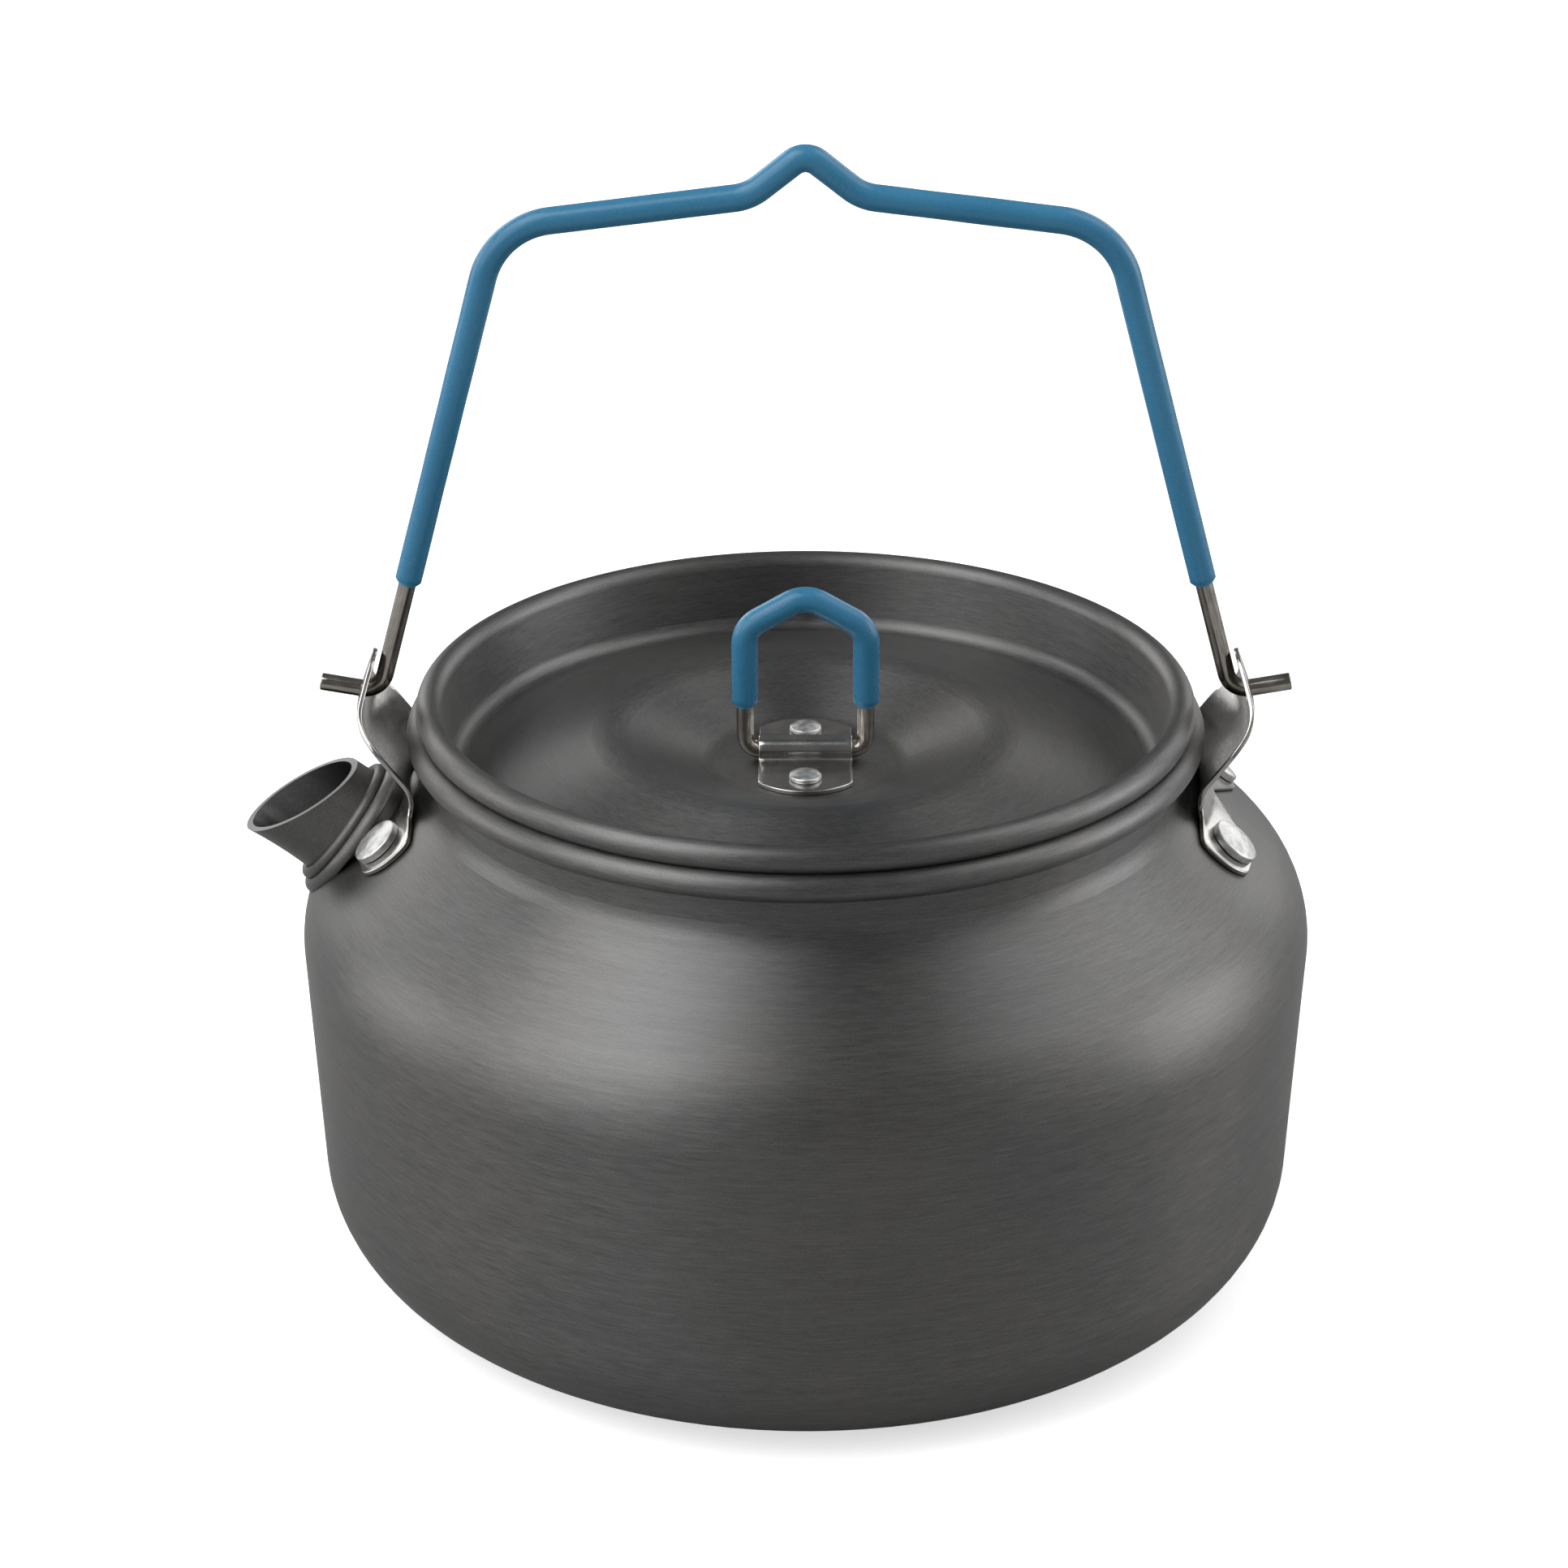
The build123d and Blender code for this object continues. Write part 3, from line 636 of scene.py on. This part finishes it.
def flat_circle(middle, radius, height, count=36):
    """Clockwise flat ring, height as a share of the radius."""
    ring = []
    for index in range(count):
        turn = -2 * math.pi * index / count
        across = radius * math.cos(turn)
        up = radius * height * math.sin(turn)
        ring.append(Vector((middle[0] + across, middle[1] + up)))
    return ring


def direction(angle):
    """Unit vector in a profile plane, counted from the first axis."""
    return Vector((math.cos(angle), 0, math.sin(angle)))


SHOULDER_CENTRE = Vector((WIDEST_RADIUS - SHOULDER_RADIUS, 0, WIDEST_HEIGHT))
CONE_FOOT = SHOULDER_CENTRE + direction(CONE_NORMAL) * SHOULDER_RADIUS
CONE_WAY = direction(CONE_NORMAL + math.pi / 2)


def lug_profile():
    """Middle of the lug's sheet in radius and height, from the foot up to the ear."""
    foot = CONE_FOOT + direction(CONE_NORMAL) * (FIT_GAP + LUG_SHEET / 2)
    bulge = Vector((LUG_BULGE[0], 0, LUG_BULGE[1]))
    web_way = direction(math.pi / 2 - LUG_WEB_LEAN)
    apart = bulge - foot
    across = CONE_WAY.x * web_way.z - CONE_WAY.z * web_way.x
    crease = foot + CONE_WAY * ((apart.x * web_way.z - apart.z * web_way.x) / across)
    start = foot - CONE_WAY * 4 * LUG_SHEET
    end = bulge + direction(math.pi / 2 + LUG_EAR_LEAN) * LUG_EAR_LENGTH
    bends = [(start, 0), (crease, LUG_BEND), (bulge, LUG_BEND), (end, 0)]
    corners = [(place.x, place.z, bend) for place, bend in bends]
    return rounded_path(corners, turn_step=math.radians(3), line_step=0.0005)


def lug_edge(side):
    """Half of a lug's edge; beside the spout the arch is cut back for the collar."""
    if side > 0:
        return LUG_EDGE
    slant = math.sin(CONE_NORMAL + math.pi / 2 - SPOUT_RISE)
    arch = []
    for angle in range(0, 85, 7):
        across = COLLAR_CUT * math.sin(math.radians(angle))
        reach = math.sqrt(COLLAR_CUT ** 2 - across ** 2) / slant
        arch.append((across, SPOUT_POINT[1] + CONE_WAY.z * reach, 0))
    foot_end = LUG_EDGE[2]
    return arch + [(foot_end[0], foot_end[1], COLLAR_CUT_BEND)] + LUG_EDGE[3:]


def first_above(values, value):
    """Index of the first later value above value, or the last index."""
    inner = range(1, len(values) - 1)
    return next((index for index in inner if values[index] > value), len(values) - 1)


LUG_SPACING = (0.0007, 0.0005)      # between the points that fill a sheet, across and up
CLIP_SPACING = (0.0009, 0.00028)
SAME_CORNER = 1e-6


def lug(side, name, node):
    """One pressed lug; side is -1 at the spout, +1 opposite."""
    profile = lug_profile()

    def lift(point, height):
        """Carries a flat point in y and z, and a height above the sheet's middle, onto the lug."""
        index = first_above([place.z for place in profile], point.y)
        low, high = profile[index - 1], profile[index]
        way = (high - low).normalized()
        radius = low.x + (point.y - low.z) / way.z * way.x
        before = (high - profile[max(index - 2, 0)]).normalized()
        after = (profile[min(index + 1, len(profile) - 1)] - low).normalized()
        share = (point.y - low.z) / (high.z - low.z)
        smooth = before.lerp(after, min(max(share, 0), 1)).normalized()
        turn = math.asin(point.x / radius)
        reach = radius + smooth.z * height
        up = point.y - smooth.x * height
        return Vector((side * reach * math.cos(turn), reach * math.sin(turn), up))

    half = lug_edge(side)
    corners = half + [(-across, height, bend) for across, height, bend in reversed(half)]
    path = rounded_path(corners, turn_step=math.radians(8), line_step=0.0008)[:-1]
    outline = [
        Vector((point.x, point.z))
        for index, point in enumerate(path) if (point - path[index - 1]).length > SAME_CORNER
    ]
    holes = [flat_circle((0, PIVOT_HEIGHT), LUG_EAR_HOLE, 1.0)]
    place = rivet_place(side, 1)[0]
    for turn in (-1, 1):
        centre = (turn * place.y, place.z)
        holes.append(flat_circle(centre, LUG_RIVET_HOLE, math.cos(CONE_NORMAL)))
    pressed_sheet(name, outline, holes, LUG_SPACING, lift, LUG_SHEET, "kettle", node)


def rivet_place(side, turn):
    """Point on a lug foot's outer face under a rivet's head, and the way the rivet points."""
    lift = LUG_SHEET + 2 * FIT_GAP
    reach = (LUG_RIVET_RADIUS - CONE_FOOT.x) / CONE_WAY.x
    surface = CONE_FOOT + CONE_WAY * reach + direction(CONE_NORMAL) * lift
    azimuth = LUG_RIVET_ANGLE * turn
    around = Vector((side * math.cos(azimuth), math.sin(azimuth), 0))
    normal = around * math.cos(CONE_NORMAL) + Vector((0, 0, math.sin(CONE_NORMAL)))
    return around * surface.x + Vector((0, 0, surface.z)), normal


def lid_clip():
    """Saddle clip whose barrel holds the loop's wire."""
    floor = LID_SEAT_HEIGHT + FIT_GAP + CLIP_SHEET / 2
    wall = CLIP_BARREL + CLIP_SHEET / 2
    crown = LOOP_HINGE_HEIGHT + wall
    foot_bend = CLIP_FOOT_BEND - CLIP_SHEET / 2
    right = [(wall, crown, wall), (wall, floor, foot_bend), (CLIP_HALF_LENGTH, floor, 0)]
    corners = [(-y, z, bend) for y, z, bend in reversed(right)] + right
    path = path_frames(rounded_path(corners, turn_step=math.radians(9), line_step=0.0004))
    total = path[-1][1]

    def lift(point, height):
        """Carries a point of the unrolled clip, and a height above the sheet's middle, onto it."""
        distance = point.y + total / 2
        index = first_above([frame[1] for frame in path], distance)
        low, high = path[index - 1], path[index]
        share = (distance - low[1]) / (high[1] - low[1])
        place = low[0] + (high[0] - low[0]) * share
        normal = -(low[3].lerp(high[3], min(max(share, 0), 1))).normalized()
        return Vector((point.x, place.x + normal.x * height, place.z + normal.z * height))

    arch_middle = total / 2 - CLIP_END_RADIUS
    widest = math.asin(CLIP_HALF_WIDTH / CLIP_END_RADIUS)
    front = []
    for step in range(-8, 9):
        turn = -widest * step / 8
        across = CLIP_END_RADIUS * math.sin(turn)
        front.append(Vector((across, arch_middle + CLIP_END_RADIUS * math.cos(turn))))
    back = [-point for point in front]
    outline = []
    side_points = 60
    for before, end in ((back, front), (front, back)):
        for step in range(1, side_points):
            outline.append(before[-1].lerp(end[0], step / side_points))
        outline += end
    station = total / 2 - CLIP_HALF_LENGTH + CLIP_RIVET_REACH
    holes = [flat_circle((0, sign * station), CLIP_RIVET_HOLE, 1.0) for sign in (-1, 1)]
    sheet = (CLIP_SPACING, lift, CLIP_SHEET)
    pressed_sheet("lid_clip_pressed", outline, holes, *sheet, "lid", "lid_clip")


# ---- Rivets --------------------------------------------------------------------------------

def pressed_rivet(name, place, way, grip, body, node, shank, head, rim, dome, tail):
    """Rivet with a dented low dome, a rounded rim and a flat tail behind the sheets."""
    upright = abs(way.z) > 0.9
    side = Vector((0, 1, 0)) if upright else Vector((0, 0, 1)).cross(way).normalized()
    other = way.cross(side)
    profile = [(RIVET_TIP, rim + dome)]
    dome_steps = 9
    for step in range(1, dome_steps + 1):
        share = step / dome_steps * (1 - RIVET_EDGE / head)
        profile.append((head * share, rim + dome * (1 - share ** 2)))
    corner = profile[-1][1] - RIVET_EDGE
    for angle in EDGE_STEPS[1:]:
        radius = head - RIVET_EDGE * (1 - math.sin(angle))
        profile.append((radius, corner + RIVET_EDGE * math.cos(angle)))
    tail_radius = (shank + head) / 2
    tail_end = -grip - tail
    tail_bevel = 0.3            # share of the tail's depth
    profile += [
        (head, RIVET_CHAMFER),
        (head - RIVET_CHAMFER, 0),
        (shank, 0),
        (shank, -grip),
        (tail_radius - RIVET_CHAMFER, -grip),
        (tail_radius, -grip - RIVET_CHAMFER),
        (tail_radius, tail_end + tail * tail_bevel),
        (tail_radius - 3 * RIVET_CHAMFER, tail_end),
        (RIVET_TIP, tail_end),
    ]
    dented_from = rim * 0.4     # only the head above this height is dented
    rings = []
    for radius, height in profile:
        ring = []
        for index in range(RIVET_SIDES):
            turn = 2 * math.pi * index / RIVET_SIDES
            arm = (side * math.cos(turn) + other * math.sin(turn)) * radius
            point = place + arm + way * height
            if height > dented_from:
                point -= way * RIVET_DENT * (1 + noise.noise(point * RIVET_DENTS))
            ring.append(point)
        rings.append(ring)
    mesh = ring_mesh(rings, [index * RIVET_RING_STEP for index in range(len(rings))])
    smooth_flats(new_piece(name, mesh, RIVET, body, node))


lug(-1, "spout_side_lug_pressed", "spout_side_lug")
lug(1, "far_side_lug_pressed", "far_side_lug")
lid_clip()
LUG_RIVETS = {
    "spout_lug_front_rivet": (-1, -1),
    "spout_lug_rear_rivet": (-1, 1),
    "far_lug_front_rivet": (1, -1),
    "far_lug_rear_rivet": (1, 1),
}
lug_grip = LUG_SHEET + BODY_SHEET + LUG_RIVET_SLACK
for node, (side, turn) in LUG_RIVETS.items():
    place, way = rivet_place(side, turn)
    pressed_rivet(node + "_pressed", place, way, lug_grip, "kettle", node, **LUG_RIVET)
clip_top = LID_SEAT_HEIGHT + CLIP_SHEET + 2 * FIT_GAP
clip_grip = CLIP_SHEET + LID_SHEET + 3 * FIT_GAP
for node, turn in (("lid_clip_front_rivet", -1), ("lid_clip_rear_rivet", 1)):
    place = Vector((0, turn * CLIP_RIVET_REACH, clip_top))
    pressed_rivet(node + "_pressed", place, Vector((0, 0, 1)), clip_grip, "lid", node, **CLIP_RIVET)

# ---- CAD nodes that keep their shape -------------------------------------------------------

FINISHES = {
    "kettle_body": ANODISED,
    "lid_shell": ANODISED,
    "spout": SPOUT_ANODISED,
    "spout_collar": SPOUT_ANODISED,
}
for name, material in FINISHES.items():
    coat(nodes[name], material)


# ---- Floor, lights and camera --------------------------------------------------------------

FLOOR_RADIUS = 6.0
FLOOR_REFLECTED = 0.45          # share of the floor's paleness that the kettle's metal sees
FLOOR_GLOW = 0.60               # lifts the floor to white for the camera, and leaves a soft shadow

SKY_SEEN = 1.0                  # brightness of the surroundings for the camera,
SKY_FRONT = 0.15                # and as reflected from the front and back,
SKY_SIDES = 0.75                # and from the sides

SOFTBOX_DISTANCE = 1.3
SOFTBOX_AIM = Vector((0, 0, 0.07))
SOFTBOXES = [                   # name, azimuth, elevation, width, height and power in watts
    ("left_high_softbox", -61, 58, 1.0, 0.8, 7.8),
    ("left_low_softbox", -50, 24, 1.0, 0.7, 3.6),
    ("left_side_softbox", -98, 15, 0.7, 0.7, 2.8),
    ("left_back_softbox", -144, 18, 0.7, 0.7, 3.6),
    ("right_low_softbox", 95, 15, 0.8, 0.7, 4.4),
    ("right_high_softbox", 98, 55, 0.9, 0.7, 3.0),
    ("right_back_softbox", 144, 18, 0.7, 0.7, 2.4),
]

CAMERA_PLACE = Vector((0, -0.5537, 0.3297))
CAMERA_AIM = Vector((-0.0035, 0, 0.0788))
CAMERA_ROLL = -0.0027           # radians
CAMERA_LENS = 85.57             # millimetres, on a 36 mm sensor


def studio_floor():
    """Plain pale floor under the kettle."""
    mesh = bmesh.new()
    bmesh.ops.create_circle(mesh, cap_ends=True, segments=96, radius=FLOOR_RADIUS)
    floor = new_object("floor", mesh)
    material, tree, surface = new_material("pale_floor")
    seen = add(tree, "LightPath", {}, "Is Camera Ray")
    shade = clouds(tree, add(tree, "TexCoord", {}, "Object"), scale=3.0)
    pale = tint(tree, shade, grey(0.93), grey(0.95))
    dim = tint(tree, seen, grey(FLOOR_REFLECTED), grey(1), start=0, end=1)
    join(tree, multiply(tree, pale, dim), surface.inputs["Base Color"])
    surface.inputs["Roughness"].default_value = 0.9
    surface.inputs["Specular IOR Level"].default_value = 0.1
    surface.inputs["Emission Color"].default_value = (1, 1, 1, 1)
    join(tree, calculate(tree, "MULTIPLY", seen, FLOOR_GLOW), surface.inputs["Emission Strength"])
    coat(floor, material)


def softbox(name, azimuth, elevation, width, height, power):
    """Rectangular studio light; azimuth 0 is the front, and it grows to the right."""
    light = bpy.data.lights.new(name, "AREA")
    light.shape = "RECTANGLE"
    light.size = width
    light.size_y = height
    light.energy = power
    lamp = bpy.data.objects.new(name, light)
    scene.collection.objects.link(lamp)
    turn = math.radians(azimuth)
    rise = math.radians(elevation)
    level = Vector((math.sin(turn), -math.cos(turn), 0))
    way = level * math.cos(rise) + Vector((0, 0, math.sin(rise)))
    lamp.location = SOFTBOX_AIM + way * SOFTBOX_DISTANCE
    lamp.rotation_mode = "QUATERNION"
    lamp.rotation_quaternion = (-way).to_track_quat("-Z", "Y")
    lamp.visible_camera = False


def surroundings():
    """White surroundings for the camera; the kettle reflects less, and least from front and back."""
    world = bpy.data.worlds.new("studio")
    world.use_nodes = True
    scene.world = world
    tree = world.node_tree
    background = tree.nodes["Background"]
    path = add(tree, "LightPath", {}, "Is Camera Ray")
    way = add(tree, "TexCoord", {}, "Generated")
    across = vectors(tree, "DOT_PRODUCT", way, (1, 0, 0), "Value")
    sideways = calculate(tree, "POWER", across, 2)
    reflected = spread(tree, sideways, SKY_FRONT, SKY_SIDES, start=0, end=1)
    strength = spread(tree, path, reflected, SKY_SEEN, start=0, end=1)
    background.inputs["Color"].default_value = (1, 1, 1, 1)
    join(tree, strength, background.inputs["Strength"])


def camera():
    """Camera above the front edge, looking down at the kettle."""
    data = bpy.data.cameras.new("camera")
    data.sensor_width = 36
    data.lens = CAMERA_LENS
    data.clip_start = 0.01
    eye = bpy.data.objects.new("camera", data)
    scene.collection.objects.link(eye)
    level = (CAMERA_AIM - CAMERA_PLACE).to_track_quat("-Z", "Y")
    roll = Matrix.Rotation(CAMERA_ROLL, 3, "Z").to_quaternion()
    eye.location = CAMERA_PLACE
    eye.rotation_mode = "QUATERNION"
    eye.rotation_quaternion = level @ roll
    scene.camera = eye


studio_floor()
surroundings()
for settings in SOFTBOXES:
    softbox(*settings)
camera()
scene.view_settings.view_transform = "Standard"
